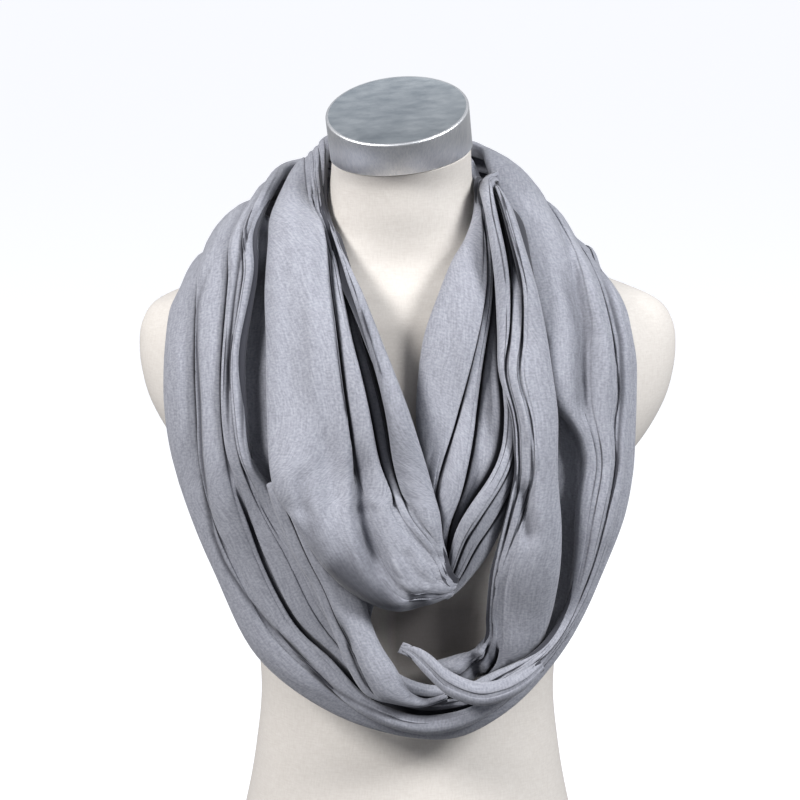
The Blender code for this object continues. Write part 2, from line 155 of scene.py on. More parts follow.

# How deep a point lies between folds, which sets its painted shade, is told by this many sight lines from
# just off it. A crease or a gap fades over the last share of its line at each end, down to a least share of
# its depth.
COVER_RAYS = 16
START_OFF = 1.3
END_FADE = 5
END_LEAST = 0.15
# How far the sight lines reach, the covered shares at which the painted shade starts and is full, and over
# how many rows and columns of points they step
CLOTH_COVER = (45, 0.28, 0.74)
CLOTH_STEPS = (2, 4)
FORM_COVER = (150, 0.03, 0.6)
FORM_STEPS = (3, 2)

# Colours of the finishes
WHITE = (1.0, 1.0, 1.0, 1)
CLOTH_DARK = (0.224, 0.229, 0.265, 1)
CLOTH_LIGHT = (0.348, 0.356, 0.400, 1)
CLOTH_FADE = (0.93, 0.935, 0.95, 1)
# Painted shade: the colour that cloth turns to deep between folds and in drawn gaps
CLOTH_PAINTED_SHADE = (0.030, 0.031, 0.042, 1)
THREAD_DARK = (0.20, 0.205, 0.24, 1)
THREAD_LIGHT = (0.36, 0.37, 0.41, 1)
LINEN_DARK = (0.60, 0.56, 0.52, 1)
LINEN_LIGHT = (0.665, 0.63, 0.59, 1)
# Painted shadow: the colour that linen turns to where the scarf closes in on it
LINEN_PAINTED_SHADOW = (0.075, 0.062, 0.06, 1)
CAP_SIDE_DARK = (0.78, 0.80, 0.83, 1)
# The cap top's steel is painted darker than the side's, as painted shade for the dimmer reflection the top
# shows
CAP_TOP_PAINTED_SHADE_DARK = (0.46, 0.51, 0.55, 1)
CAP_TOP_PAINTED_SHADE_LIGHT = (0.62, 0.66, 0.69, 1)

# The studio: the floor's reach in metres, its colours, the sky's from straight below to straight above, and
# the lights' side and aim in metres
FLOOR_REACH = 40
FLOOR_COLOUR = (0.35, 0.352, 0.36, 1)
FLOOR_GLOW = (0.93, 0.94, 0.975, 1)
FLOOR_STRENGTH = 0.85
SKY_STOPS = ((0.0, (0.30, 0.305, 0.32, 1)), (0.5, (0.62, 0.635, 0.67, 1)), (1.0, (1.05, 1.08, 1.15, 1)))
SKY_STRENGTH = 0.44
LIGHT_SIZE = 0.8
LIGHT_AIM = (0, 0, 0.45)

# Neck cap
CAP_RADIUS = 55.5
CAP_HEIGHT = 36.5
CAP_CHAMFER = 1.6
CAP_TOP = (-8.3, -34, 671.1)
CAP_NOD = math.radians(23.7)
CAP_FOOT_NOD = math.radians(13.9)
CAP_ROLL = math.radians(5.8)
CAP_GAP = 0.3
CAP_EASE = 0.6
CAP_DISH = 0.25
CHAMFER_RINGS = 7

# The form's level sections: height, middle x, half width, front and back depth, squareness
FORM_ROWS = (
    (0, 0, 158, -108, 118, 2.2),
    (60, 0, 143, -102, 112, 2.2),
    (110, 0, 131, -95, 98, 2.2),
    (150, 0, 124, -88, 84, 2.2),
    (200, 0, 119, -82, 74, 2.2),
    (250, 0, 123, -88, 76, 2.2),
    (300, 0, 133, -100, 82, 2.2),
    (345, 0, 144, -112, 88, 2.2),
    (380, 0, 158, -117, 92, 2.2),
    (405, 0, 184, -113, 94, 2.2),
    (436, 0, 203, -106, 95, 2.2),
    (462, 0, 211, -99, 94, 2.2),
    (485, 0, 213, -90, 91, 2.2),
    (503, 0, 210, -80, 86, 2.2),
    (518, 0, 199, -70, 80, 2.2),
    (531, 0, 170, -65, 73, 2.2),
    (545, -1, 130, -59, 66, 2.2),
    (558, -2, 98, -56, 59, 2.2),
    (573, -3, 73, -57, 53, 2.1),
    (592, -4, 61, -61, 47, 2.0),
    (613, -5, 56, -65, 40, 2.0),
)
NECK_RADIUS = 54.2
FORM_SIDES = 128
FORM_RINGS = 150

# Each row of a stretch: a side (u, v, y), b side (u, v, y), swell, the folds' places from a to b as shares
# of the width, and the height of each band between two folds. A fold laps the higher band over the lower one.
# The rows of a BACK table give x, y and z instead of u, v and y.
OUTER_LEFT = (
    (-162, 107, 2, -88, 166, 18, 6, 0.27, 0.78, 0.90, 0, 6, 11, 14),
    (-179, 83, -38, -107, 124, -50, 8, 0.39, 0.78, 0.93, 0, 7, 13, 17),
    (-186, 69, -50, -110, 93, -66, 8, 0.40, 0.76, 0.93, 0, 7, 13, 17),
    (-190, 26, -66, -122, 34, -86, 8, 0.49, 0.83, 0.95, 0, 7, 13, 17),
    (-189, -14, -76, -117, -9, -98, 8, 0.47, 0.77, 0.91, 0, 7, 13, 17),
    (-181, -56, -82, -110, -46, -106, 8, 0.41, 0.75, 0.91, 0, 8, 11, 14),
    (-165, -102, -92, -91, -80, -112, 8, 0.29, 0.60, 0.80, 0, 4, 1, 0),
    (-146, -146, -100, -67, -118, -116, 7, 0.26, 0.50, 0.78, 0, 1, -1, -1),
    (-120, -200, -108, -50, -160, -120, 6, 0.33, 0.53, 0.78, 0, 1, -2, -2),
    (-83, -235, -114, -35, -189, -122, 6, 0.38, 0.62, 0.80, 0, 2, -3, -3),
    (-38, -259, -116, -14, -216, -124, 6, 0.33, 0.58, 0.80, 0, 6, -3, -4),
    (10, -271, -116, 16, -232, -126, 5, 0.29, 0.58, 0.80, 0, 7, -2, -3),
    (49.8, -270, -117, 49.8, -232, -126, 4, 0.37, 0.68, 0.86, 0, 6, 0, -2),
)
OUTER_LEFT_BACK = (
    (-0.2, 112, 492, -0.9, 96, 630, 4, 0.30, 0.62, 0.82, 0, 5, 9, 12),
    (-68, 105, 500, -48, 86, 626, 4, 0.30, 0.64, 0.84, 0, 5, 9, 12),
    (-128, 84, 521, -84, 64, 615, 5, 0.29, 0.70, 0.87, 0, 6, 10, 13),
)
OUTER_RIGHT = (
    (91, -246, -121, 74, -218, -118, 3, 0.30, 0.62, 0.84, 0, 6, 5, 3),
    (124, -209, -115, 114, -197, -111, 3, 0.33, 0.60, 0.80, 0, 6, 8, 8),
    (146, -174, -107, 132, -166, -105, 4, 0.30, 0.56, 0.78, 0, 7, 8, 8),
    (165, -133, -99, 137, -124, -104, 6, 0.29, 0.55, 0.78, 0, 7, 8, 8),
    (180, -95, -92, 138, -82, -106, 7, 0.33, 0.55, 0.78, 0, 7, 8, 8),
    (187, -60, -84, 142, -50, -100, 8, 0.33, 0.54, 0.78, 0, 7, 8, 8),
    (189, -32, -80, 136, -26, -98, 8, 0.26, 0.50, 0.76, 0, 7, 8, 8),
    (190, 0, -74, 113, 0, -96, 8, 0.13, 0.30, 0.61, 0, 7, 9, 8),
    (190, 30, -68, 107, 30, -91, 8, 0.12, 0.30, 0.57, 0, 7, 9, 8),
    (186, 52, -60, 103, 54, -85, 8, 0.10, 0.30, 0.51, 0, 6, 9, 8),
    (181, 74, -50, 95, 75, -78, 8, 0.10, 0.30, 0.48, 0, 6, 9, 8),
    (169, 94, -34, 88, 99, -66, 8, 0.10, 0.26, 0.43, 0, 4, 7, 6),
    (159, 101, -18, 82, 148, -32, 9, 0.12, 0.26, 0.44, 0, 1, 3, 3),
    (150, 107, 6, 70, 194, 30, 9, 0.14, 0.32, 0.55, 0, 0, 1, 2),
)
OUTER_RIGHT_BACK = (
    (124, 84, 525, 60, 64, 633, 6, 0.20, 0.46, 0.68, 0, 0, 1, 3),
    (68, 105, 502, 42, 86, 636, 4, 0.27, 0.56, 0.78, 0, 4, 6, 8),
    (0.2, 112, 492, 0.2, 96, 628, 5, 0.30, 0.62, 0.82, 0, 5, 9, 12),
)
STRAP = (
    (94, -236, -103, 20, -214, -106, 3, 0.45, 0.72, 0, -3, 0),
    (106, -214, -109, 50, -205, -110, 3, 0.50, 0.78, 0, -3, 0),
    (115, -192, -115, 69, -192, -116, 4, 0.80, 0.93, 0, 0, 0),
    (122, -170, -121, 71, -172, -120, 4, 0.86, 0.95, 0, 0, 0),
    (128, -137, -131, 74, -137, -130, 5, 0.86, 0.95, 0, 0, 0),
    (129, -101, -130, 82, -102, -128, 5, 0.74, 0.94, 0, -1, 0),
    (126, -63, -126, 91, -62, -124, 5, 0.58, 0.92, 0, -1, 0),
    (126, -37, -124, 91, -38, -122, 5, 0.55, 0.90, 0, -1, 0),
    (126, -10, -121, 89, -13, -119, 5, 0.60, 0.90, 0, -1, 0),
    (122, 22, -115, 79, 21, -114, 5, 0.62, 0.88, 0, -1, 0),
    (117, 54, -107, 78, 51, -106, 5, 0.45, 0.78, 0, -2, 0),
    (109, 90, -98, 76, 88, -94, 5, 0.28, 0.66, 0, -5, -1),
    (100, 120, -84, 74, 115, -80, 5, 0.26, 0.60, 0, -8, 1),
    (91, 149, -64, 70, 142, -60, 5, 0.26, 0.58, 0, -8, 1),
    (84, 164, -46, 64, 168, -42, 4, 0.28, 0.58, 0, -5, 1),
    (79, 166, -18, 67, 177, -14, 3, 0.45, 0.76, 0, 1, 1),
)
STRAP_BACK = (
    (74, 10, 600, 69, 9, 619, 0, 0.45, 0.76, 0, 1, 1),
    (76, 26, 600, 71, 24, 619, 0, 0.45, 0.76, 0, 1, 1),
)
INNER_BAND = (
    (-104, -70, -107, -72, -62, -109, 2, 0.30, 0, 5),
    (-97, -94, -118, -56, -84, -120, 3, 0.30, 0, 5),
    (-82, -128, -124, -40, -116, -126, 3, 0.28, 0, 5),
    (-70, -148, -128, -30, -150, -130, 3, 0.27, 0, 5),
    (-58, -176, -132, -24, -174, -134, 4, 0.30, 0, 6),
    (-50, -196, -136, -16, -194, -138, 4, 0.37, 0, 6),
    (-40, -219, -138, -3, -214, -140, 4, 0.33, 0, 6),
    (-27, -237, -139, 4, -228, -140, 3, 0.30, 0, 5),
    (-6, -243, -138, 10, -235, -139, 2, 0.30, 0, 3),
    (18, -246, -134, 21, -239, -134, 1, 0.35, 0, 2),
    (38, -240, -129, 37, -235, -129, 1, 0.40, 0, 1),
)
LOWER_LIP = (
    (0, -199, -122, 1, -197, -122, 0, 0.5, 0, 0),
    (8, -206, -130, 10, -197.5, -130, 0, 0.5, 0, 0),
    (22, -222, -138, 22, -203.5, -138, 1, 0.5, 0, 0),
    (40, -238, -144, 38, -217, -143, 2, 0.5, 0, 0),
    (64, -245, -147, 61, -226.5, -147, 3, 0.5, 0, 0),
    (86, -240, -146, 82, -224, -146, 3, 0.5, 0, 0),
    (103, -229, -140, 99, -217, -141, 2, 0.5, 0, 0),
    (115, -215, -130, 112, -209, -132, 1, 0.5, 0, 0),
)
INNER_LEFT = (
    (-85, 181, 14, -59, 200, 12, 4, 0.55, 0.72, 0.86, 0, 0, 0, 0),
    (-102, 150, -26, -59, 152, -28, 5, 0.80, 0.88, 0.95, 0, -1, -1, -2),
    (-105, 126, -56, -50, 124, -54, 6, 0.80, 0.90, 0.96, 0, -5, -6, -2),
    (-108, 88, -82, -34, 90, -78, 7, 0.69, 0.81, 0.90, 0, -5, -10, -1),
    (-107, 48, -104, -18, 48, -101, 7, 0.62, 0.75, 0.88, 0, -5, -13, 0),
    (-107, 12, -119, -3, 12, -116, 7, 0.575, 0.73, 0.86, 0, -4, -14, 0),
    (-106, -20, -129, 10, -20, -126, 7, 0.55, 0.71, 0.83, 0, -4, -14, 0),
    (-104, -52, -134, 20, -50, -131, 7, 0.535, 0.70, 0.80, 0, -2, -9, 0),
    (-99, -74, -139, 27, -74, -137, 7, 0.52, 0.72, 0.80, 0, 0, -3, 0),
    (-86, -95, -144, 32, -92, -141, 7, 0.50, 0.72, 0.82, 0, 0, 0, 0),
    (-69, -122, -140, 34, -112, -143, 11, 0.46, 0.84, 0.93, 0, 0, 0, 0),
    (-46, -149, -136, 37, -124, -144, 13, 0.44, 0.88, 0.95, 0, 0, 0, 0),
    (-11, -168, -134, 39, -134, -144, 12, 0.44, 0.88, 0.95, 0, 0, 0, 0),
    (16, -166, -142, 42, -142, -143, 7, 0.44, 0.86, 0.94, 0, 0, 0, 0),
    (42, -157, -142, 46, -146, -140, 1, 0.44, 0.82, 0.92, 0, 0, 0, 0),
)
# Single creases of a stretch: height, how wide it is on the left and on the right of its line when the line
# goes down the picture, and the line's points (x, y) in dots of the picture
PANEL_CREASES = (
    (-7, 4, 13, 350, 440, 356, 478, 357, 515, 366, 548, 381, 587),
    (3, 8, 4, 346, 440, 350, 478, 349, 515, 356, 548, 370, 590),
    (1.1, 6, 6, 350, 503, 362, 499, 380, 503),
    (-1.4, 6, 6, 354, 513, 364, 509, 382, 514),
    (-3.5, 7, 12, 300, 462, 303, 500, 312, 545),
    (-2.5, 6, 9, 322, 420, 326, 470, 332, 530),
    (2.5, 5, 7, 392, 556, 402, 580, 420, 596),
    (-2.5, 5, 7, 402, 548, 414, 574, 432, 588),
    (2.6, 4, 7, 324, 160, 318, 178, 313, 191, 314, 201, 324, 208, 327, 230, 328, 262),
    (-3, 9, 9, 285, 250, 290, 330, 290, 420),
    (2.5, 8, 8, 306, 230, 312, 320, 316, 420),
)
# Gaps and hollows between bands that lie against each other, cut shallow and darkened with painted shade, in
# the
# same form: how dark (1 is a full gap), the widths on both sides of the line, and its points. Some rows are
# wide painted shade over a shallow dip, as along the panel's lower edge.
OUTER_GROOVES_AND_SHADE = (
    (1, 2, 2, 222, 236, 213.5, 260, 206, 278, 199.4, 296, 197.2, 314, 196.2, 347, 197.2, 368, 199.4, 401,
     201.6, 456, 207, 500, 214, 538, 225, 565, 245, 596, 267, 623, 294, 648, 314, 670, 334, 690, 357, 703.6,
     390, 719, 424, 727),
    (1, 2, 2, 274, 194, 254, 212, 244, 239, 239, 260, 235.7, 282, 233, 303, 231, 325, 228, 358, 227.6, 390,
     229, 430, 232, 445),
    (1, 2, 2, 270, 225, 256, 256, 250.4, 292, 247, 314, 244, 336, 241.7, 358, 240.6, 390, 243, 430, 245, 445,
     254, 474),
    (0.8, 2, 3, 592.6, 255, 601, 274, 609.4, 296, 615.5, 320, 619.6, 338, 621, 362, 621.6, 400, 618, 463,
     608, 516),
    (1, 7, 12, 372, 707, 400, 713, 430, 716, 466, 712),
    (0.6, 8, 8, 259, 296, 258, 330, 257, 370, 260, 420, 263, 478),
    (0.5, 6, 14, 563, 255, 570, 281, 578, 311, 582, 337, 581, 362, 579, 400, 583, 430),
)
PANEL_GROOVES_AND_SHADE = (
    (1, 2, 2, 323, 207, 328, 239, 330, 283, 337, 350, 345, 408, 350, 440),
    (0.8, 2, 2, 314, 192, 322, 194.5, 331, 194),
    (0.55, 8, 13, 352, 300, 360, 340, 370, 380, 383, 430, 394, 475),
    (1.3, 3, 30, 318, 560, 334, 576, 352, 596, 368, 607, 386, 611, 408, 608),
    (0.8, 3, 18, 408, 608, 430, 603),
    (0.4, 5, 9, 351, 440, 356, 478, 358, 515, 366, 548, 378, 580),
    (0.3, 6, 10, 300, 470, 306, 510, 320, 550),
)
BAND_GROOVES_AND_SHADE = (
    (1, 2, 2, 333, 610, 348, 638, 356, 665, 375, 697),
    (0.5, 3, 9, 398, 675, 412, 698, 440, 697),
)
# Painted shadow on the linen, in the same form: the window under the panel and the foot of the neckline,
# where the linen lies in the scarf's shadow
FORM_PAINTED_SHADOWS = (
    (1.2, 50, 52, 372, 640, 440, 632, 500, 630),
    (0.42, 58, 58, 400, 300, 408, 460),
)
STRAP_GROOVES_AND_SHADE = (
    (0.55, 8, 8, 497, 192, 505, 225, 511, 262, 515, 296),
    (0.6, 5, 5, 522, 480, 526, 515, 529, 548),
    (0.8, 4, 4, 470, 650, 478, 664, 483, 684),
)
OUTER_CREASES = (
    (-5, 9, 12, 563, 255, 570, 281, 578, 311, 582, 337, 581, 362, 579, 400, 583, 440),
    (3, 8, 6, 571, 240, 583, 265, 592, 296, 597, 322, 605, 342, 608, 373, 609, 410),
    (-3, 5, 5, 612, 530, 592, 582, 560, 632),
    (2.5, 10, 10, 178, 330, 180, 400, 186, 470),
)
STRAP_CREASES = (
    (-6, 6, 10, 520, 478, 526, 515, 529, 548),
    (4, 5, 4, 522, 397, 528, 425, 533, 446, 535, 473),
    (3.5, 4, 4, 460, 656, 472, 646, 483, 652, 484, 664, 489, 680),
    (-3.5, 4, 4, 468, 660, 474, 668, 478, 678, 480, 690),
    (2.5, 4, 4, 450, 664, 460, 672, 466, 684),
)
INNER_LEFT_BACK = (
    (-2.3, 84, 574, -2.3, 62, 648, 2, 0.40, 0.60, 0.80, 0, 2, 4, 5),
    (-46, 74, 580, -38, 54, 648, 2, 0.40, 0.60, 0.80, 0, 1, 2, 2),
    (-82, 42, 596, -64, 30, 646, 3, 0.45, 0.65, 0.82, 0, 0, 0, 0),
)
INNER_RIGHT = (
    (38, -160, -124, 12, -138, -120, 2, 0.16, 0.30, 0.46, 0.62, 0.80, 0, 2, 3, 0, 2, 2),
    (50, -149, -126, 28, -118, -118, 3, 0.16, 0.30, 0.46, 0.62, 0.82, 0, 3, 5, -2, 2, 2),
    (69, -126, -126, 22, -80, -116, 4, 0.19, 0.32, 0.47, 0.60, 0.84, 0, 4, 6, -5, 2, 3),
    (82, -102, -123, 16, -44, -113, 5, 0.12, 0.24, 0.36, 0.50, 0.75, 0, 4, 7, -6, 2, 4),
    (104, -64, -120, 13, -16, -112, 6, 0.12, 0.20, 0.29, 0.53, 0.71, 0, 3, 6, -4, 1, 4),
    (112, -24, -110, 14, 12, -106, 6, 0.12, 0.20, 0.29, 0.53, 0.66, 0, 2, 3, -4, 0, 4),
    (108, 18, -101, 19, 50, -97, 6, 0.12, 0.21, 0.31, 0.48, 0.57, 0, 0, 0, -6, 0, 4),
    (102, 56, -90, 30, 82, -85, 6, 0.12, 0.21, 0.31, 0.43, 0.52, 0, 0, 0, -5, 0, 4),
    (94, 88, -78, 41, 110, -74, 5, 0.12, 0.21, 0.31, 0.40, 0.49, 0, 0, 0, -3, 0, 3),
    (86, 118, -62, 52, 129, -62, 4, 0.12, 0.22, 0.32, 0.42, 0.54, 0, 0, 0, -2, 0, 2),
    (76, 146, -40, 59, 150, -42, 3, 0.14, 0.26, 0.38, 0.50, 0.64, 0, 0, 0, 0, 0, 0),
    (64, 168, -10, 59, 174, -12, 1, 0.16, 0.30, 0.44, 0.58, 0.72, 0, 0, 0, 0, 0, 0),
)
INNER_RIGHT_BACK = (
    (61, 30, 588, 55, 26, 612, 1, 0.30, 0.42, 0.54, 0.68, 0.80, 0, 1, 2, 2, 2, 2),
    (44, 72, 576, 38, 54, 634, 2, 0.40, 0.52, 0.66, 0.76, 0.86, 0, 2, 3, 4, 5, 5),
    (0.9, 84, 574, 0.9, 62, 648, 2, 0.40, 0.52, 0.66, 0.76, 0.86, 0, 2, 3, 4, 5, 5),
)


# The eye's own directions and its place
AHEAD = np.array((0.0, math.cos(VIEW_TILT), -math.sin(VIEW_TILT)))
UP = np.array((0.0, math.sin(VIEW_TILT), math.cos(VIEW_TILT)))
EYE = np.array((VIEW_X, 0.0, VIEW_Z)) - EYE_DISTANCE * AHEAD


def place(u, v, y):
    """The point at depth y that the picture shows at (u, v)."""
    sight = AHEAD + (u * np.array((1.0, 0.0, 0.0)) + v * UP) / EYE_DISTANCE
    return EYE + sight * (y - EYE[1]) / sight[1]


def seen(points):
    """Where the picture shows these points, as (u, v)."""
    away = points - EYE
    nearer = EYE_DISTANCE / (away @ AHEAD)
    return np.stack((away[..., 0] * nearer, (away @ UP) * nearer), axis=-1)


def through(rows, count):
    """Count rows along a smooth curve through the given ones."""
    rows = np.array(rows, float)
    last = len(rows) - 1
    smooth = []
    for along in np.linspace(0, last, count):
        k = min(int(along), last - 1)
        t = along - k
        p0, p1, p2, p3 = (rows[min(max(k + step, 0), last)] for step in (-1, 0, 1, 2))
        bend = 2 * p0 - 5 * p1 + 4 * p2 - p3
        twist = 3 * (p1 - p2) + p3 - p0
        smooth.append(p1 + ((p2 - p0) * t + bend * t**2 + twist * t**3) / 2)
    return np.array(smooth)


def unit(vectors):
    """These vectors at a length of one."""
    return vectors / np.linalg.norm(vectors, axis=-1, keepdims=True)


def fold_points(at, low, high):
    """A knife fold's points, as (across, height): the higher band laps over the lower one."""
    rise = high - low
    full = min(abs(rise) / FULL_RISE, 1)
    lap = min(abs(rise) / LAP_RISE, 1)
    lapped, heights = np.array(LAPPED), np.array(FOLD_HEIGHTS)
    if rise < 0:
        lapped, heights = -lapped[::-1], 1 - heights[::-1]
    across = at + full * lap * lapped + (1 - full) * np.array(UNLAPPED)
    return list(zip(across, low + rise * heights))


def side_points(flap, small, share):
    """A side's section, as (how far in, how far down): rolled under, or lapping under what lies beyond."""
    rolled = np.array(HEM_SECTION) * (HEM_REACH * small, HEM_DEPTH * small)
    if flap is None:
        return rolled
    return share * np.array(FLAP_SECTION) * flap + (1 - share) * rolled


def section(width, swell, folds, levels, flaps, flap_share):
    """The cloth's section from a to b as (across, height) points."""
    small = min(1, width / HEM_WIDTH)
    points = [(over, levels[0] - down) for over, down in side_points(flaps[0], small, flap_share)]
    marks = [0.0, *(share * width for share in folds), width]
    for band, level in enumerate(levels):
        start, end = marks[band], marks[band + 1]
        bow = min(BOW_SHARE * (end - start), MOST_BOW)
        for share in BAND_SHARES:
            points.append((start + share * (end - start), level + bow * 4 * share * (1 - share)))
        if band < len(folds):
            points.extend(fold_points(end, level, levels[band + 1]))
    last_side = side_points(flaps[1], small, flap_share)[::-1]
    points.extend((width - over, levels[-1] - down) for over, down in last_side)
    across, height = np.array(points).T
    share = np.clip(across / width, 0, 1)
    return across, height + swell * 4 * share * (1 - share)


def sheet_grid(rows, fold_count, count, flaps):
    """The cloth's points row by row, how far across each lies, and the outward direction at each row."""
    smooth = through(rows, count)
    a, b = smooth[:, 0:3], smooth[:, 3:6]
    middle = (a + b) / 2
    along = unit(np.gradient(middle, axis=0))
    across = b - a
    width = np.linalg.norm(across, axis=1)
    outward = unit(np.cross(along, unit(across)))
    grid = []
    places = []
    for k in range(count):
        folds = smooth[k, 7 : 7 + fold_count]
        levels = smooth[k, 7 + fold_count :]
        levels = levels * np.where(levels > 0, RIDGE_SCALE, TROUGH_SCALE)
        flap_share = min(max((FLAP_FROM - middle[k, 1]) / FLAP_EASE, 0), 1)
        flap_share *= min(max((middle[k, 2] - FLAP_LOW) / FLAP_LOW_EASE, 0), 1)
        s, h = section(width[k], smooth[k, 6], folds, levels, flaps, flap_share)
        grid.append(a[k] + np.outer(s / width[k], across[k]) + np.outer(h, outward[k]))
        places.append(s)
    return np.array(grid), np.array(places), outward


def refined(values):
    """Twice as many rows along a smooth curve that follows the given ones and keeps both ends."""
    fine = np.empty((2 * len(values) - 1, *values.shape[1:]))
    fine[0::2] = values
    fine[2:-2:2] = (values[:-2] + 6 * values[1:-1] + values[2:]) / 8
    fine[1::2] = (values[:-1] + values[1:]) / 2
    return fine


def refined_across(values):
    """Twice as many points across the cloth."""
    return refined(values.swapaxes(0, 1)).swapaxes(0, 1)


def rest_on(grid, places, outward, below, clear, from_y, pull=0.0):
    """Lifts the cloth clear of what lies below it, where a row's middle is in front of from_y.

    The more pull, the more the lift turns from the cloth's own outward direction toward the eye.
    """
    outward = unit(outward - pull * AHEAD)
    lift = np.zeros(places.shape)
    for k, row in enumerate(grid):
        if row[:, 1].mean() > from_y:
            continue
        direction = Vector(outward[k])
        for j, point in enumerate(row):
            start = Vector(point) + LIFT_REACH * direction
            hit, _, _, distance = below.ray_cast(start, -direction, LIFT_REACH + clear)
            if hit is not None:
                lift[k, j] = LIFT_REACH + clear - distance
    if not lift.any():
        return grid
    eased = lift.copy()
    for k in range(len(grid)):
        for other in range(max(k - LIFT_ROWS + 1, 0), min(k + LIFT_ROWS, len(grid))):
            if not lift[other].any():
                continue
            apart = np.abs(places[k][:, None] - places[other][None, :])
            needed = lift[other][None, :] - LIFT_SLOPE * np.maximum(apart - LIFT_FLAT, 0)
            needed *= 0.5 + 0.5 * math.cos(math.pi * (k - other) / LIFT_ROWS)
            eased[k] = np.maximum(eased[k], needed.max(axis=1))
    return grid + eased[..., None] * outward[:, None, :]


def normals_of(grid):
    """The cloth's own direction outward at each point."""
    along = np.gradient(grid, axis=0)
    across = np.gradient(grid, axis=1)
    crossed = np.cross(along, across)
    return crossed / np.maximum(np.linalg.norm(crossed, axis=-1, keepdims=True), 1e-9)


def crease_field(shown, creases):
    """How far each crease moves each point that the picture shows at (u, v)."""
    moved = np.zeros(shown.shape[:-1])
    for depth, left_width, right_width, *line in creases:
        line = (np.array(line, float).reshape(-1, 2) - PICTURE_DOTS / 2) * (DOT, -DOT)
        lengths = np.linalg.norm(np.diff(line, axis=0), axis=1)
        gone = np.concatenate(((0.0,), np.cumsum(lengths)))
        nearest = np.full(shown.shape[:-1], math.inf)
        side = np.zeros(shown.shape[:-1])
        share = np.zeros(shown.shape[:-1])
        for k in range(len(line) - 1):
            step = (line[k + 1] - line[k]) / lengths[k]
            away = shown - line[k]
            along = np.clip(away @ step, 0, lengths[k])
            apart = away - along[..., None] * step
            far = np.linalg.norm(apart, axis=-1)
            closer = far < nearest
            nearest = np.where(closer, far, nearest)
            side = np.where(closer, step[0] * away[..., 1] - step[1] * away[..., 0], side)
            share = np.where(closer, (gone[k] + along) / gone[-1], share)
        width = np.where(side > 0, right_width, left_width) * DOT
        ends = np.clip(np.minimum(share, 1 - share) * END_FADE, END_LEAST, 1)
        moved += depth * np.exp(-((nearest / width) ** 2)) * ends
    return moved


def uneven(grid, seed):
    """Soft unevenness of hanging cloth, longer along it than across, and the flat place of each point."""
    across = np.linalg.norm(np.diff(grid, axis=1), axis=-1)
    across = np.concatenate((np.zeros((len(grid), 1)), np.cumsum(across, axis=1)), axis=1)
    middle = grid[:, grid.shape[1] // 2]
    along = np.concatenate(((0.0,), np.cumsum(np.linalg.norm(np.diff(middle, axis=0), axis=1))))
    along = np.broadcast_to(along[:, None], across.shape)
    flat = np.stack((across - across.mean(axis=1, keepdims=True), along), axis=-1)

    def wave(x, y):
        return sum(
            height * noise.noise((x / wide, y / long, seed + step))
            for (height, wide, long), step in zip(WAVES, WAVE_SEEDS)
        )

    return np.array([[wave(x, y) for x, y in row] for row in flat]), flat


def covered(points, normals, cover, reach):
    """How far other surfaces close in on each point, from 0 in the open to 1 deep between folds."""
    turn = math.pi * (3 - math.sqrt(5))
    shares = np.zeros(len(points))
    for i, (point, normal) in enumerate(zip(points, normals)):
        outward = Vector(normal)
        side = outward.orthogonal().normalized()
        other = outward.cross(side)
        start = Vector(point) + outward * START_OFF
        for k in range(COVER_RAYS):
            spread = math.sqrt((k + 0.5) / COVER_RAYS)
            angle = k * turn
            rise = math.sqrt(1 - spread * spread)
            direction = spread * (math.cos(angle) * side + math.sin(angle) * other) + rise * outward
            hit, _, _, distance = cover.ray_cast(start, direction, reach)
            if hit is not None:
                shares[i] += 1 - distance / reach
    return shares / COVER_RAYS


def mark_painted_shade(piece, grid, cover, steps, shade, groove_and_shade):
    """Stores on the piece its painted shade, from how deep each point lies between folds on a coarser grid of
    it, or the given shade where darker.
    """
    row_step, column_step = steps
    reach, first, full = shade
    count, columns = grid.shape[:2]
    rows = np.unique(np.append(np.arange(0, count, row_step), count - 1))
    across = np.unique(np.append(np.arange(0, columns, column_step), columns - 1))
    some = np.ix_(rows, across)
    normals = normals_of(grid)
    depth = covered(grid[some].reshape(-1, 3), normals[some].reshape(-1, 3), cover, reach)
    depth = depth.reshape(len(rows), len(across))
    depth = np.array([np.interp(np.arange(columns), across, line) for line in depth])
    depth = np.array([np.interp(np.arange(count), rows, line) for line in depth.T]).T
    depth = np.clip((depth - first) / (full - first), 0, 1)
    # A drawn gap's painted shade counts where it is darker than the painted fold shade
    depth = np.maximum(depth * depth * (3 - 2 * depth), GROOVE_PAINTED_SHADE * groove_and_shade)
    piece.data.attributes.new("fold_depth", "FLOAT", "POINT").data.foreach_set("value", depth.ravel())


def grid_faces(rows, columns):
    """The four corners of each face of a grid of points."""
    corner = np.arange(rows * columns).reshape(rows, columns)
    quads = np.stack((corner[:-1, :-1], corner[1:, :-1], corner[1:, 1:], corner[:-1, 1:]), axis=-1)
    return quads.reshape(-1, 4)


def tree_of(*pieces):
    """One search tree over the faces of the given pieces, in millimetres."""
    points = []
    faces = []
    graph = bpy.context.evaluated_depsgraph_get()
    for piece in pieces:
        shape = bmesh.new()
        shape.from_object(piece, graph)
        first = len(points)
        points.extend(vertex.co / MM - Vector((0, MIDDLE_Y, 0)) for vertex in shape.verts)
        faces.extend([first + vertex.index for vertex in face.verts] for face in shape.faces)
        shape.free()
    return BVHTree.FromPolygons(points, faces)


def laid(rows, tree, gap):
    """Rows of the front drawing with their sides moved forward to lie on what the picture shows there."""
    rows = [list(row) for row in rows]
    for first in (0, 3):
        depths = []
        for row in rows:
            sight = place(*row[first : first + 3]) - EYE
            hit = tree.ray_cast(Vector(EYE), Vector(sight).normalized())[0]
            depths.append(row[first + 2] if hit is None else min(hit.y - gap, row[first + 2]))
        for k, row in enumerate(rows):
            row[first + 2] = min(depths[max(k - 1, 0) : k + 2])
    return drawn(rows)


